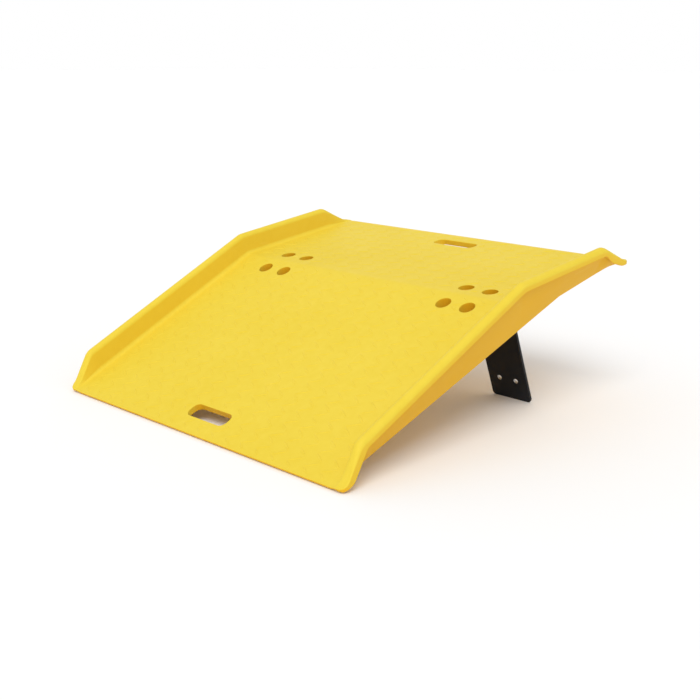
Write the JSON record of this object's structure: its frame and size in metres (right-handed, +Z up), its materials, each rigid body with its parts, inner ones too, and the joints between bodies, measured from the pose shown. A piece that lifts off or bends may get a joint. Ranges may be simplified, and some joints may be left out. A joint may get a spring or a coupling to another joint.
{
  "type": "portable dock plate",
  "caption": "Portable ramp plate for hand trucks: a hollow moulded deck bent at a ridge, with raised tread, side curbs and hand slots, on bolted steel legs.",
  "frame": {"origin": "on the ground under the middle of the plate's bounding box, with the plate standing on its front edge and its legs", "axes": "+Y in the direction of travel from the low front edge to the high rear edge, +Z up, +X across the plate to the right of someone going up it"},
  "size_m": [0.889, 0.864, 0.3473],
  "materials": {
    "plate_yellow": "moulded polyethylene, satin, with raised tread",
    "leg_black": "black powder coat, satin, fine orange peel",
    "fastener_zinc": "zinc plated, satin"
  },
  "bodies": {
    "root": {"deck_shell": "plate_yellow", "left_leg": "leg_black", "right_leg": "leg_black", "left_bolts": "fastener_zinc", "right_bolts": "fastener_zinc", "left_socket_washers": "fastener_zinc", "right_socket_washers": "fastener_zinc", "left_nut_washers": "fastener_zinc", "right_nut_washers": "fastener_zinc", "left_lock_nuts": "fastener_zinc", "right_lock_nuts": "fastener_zinc"}
  },
  "joints": []
}
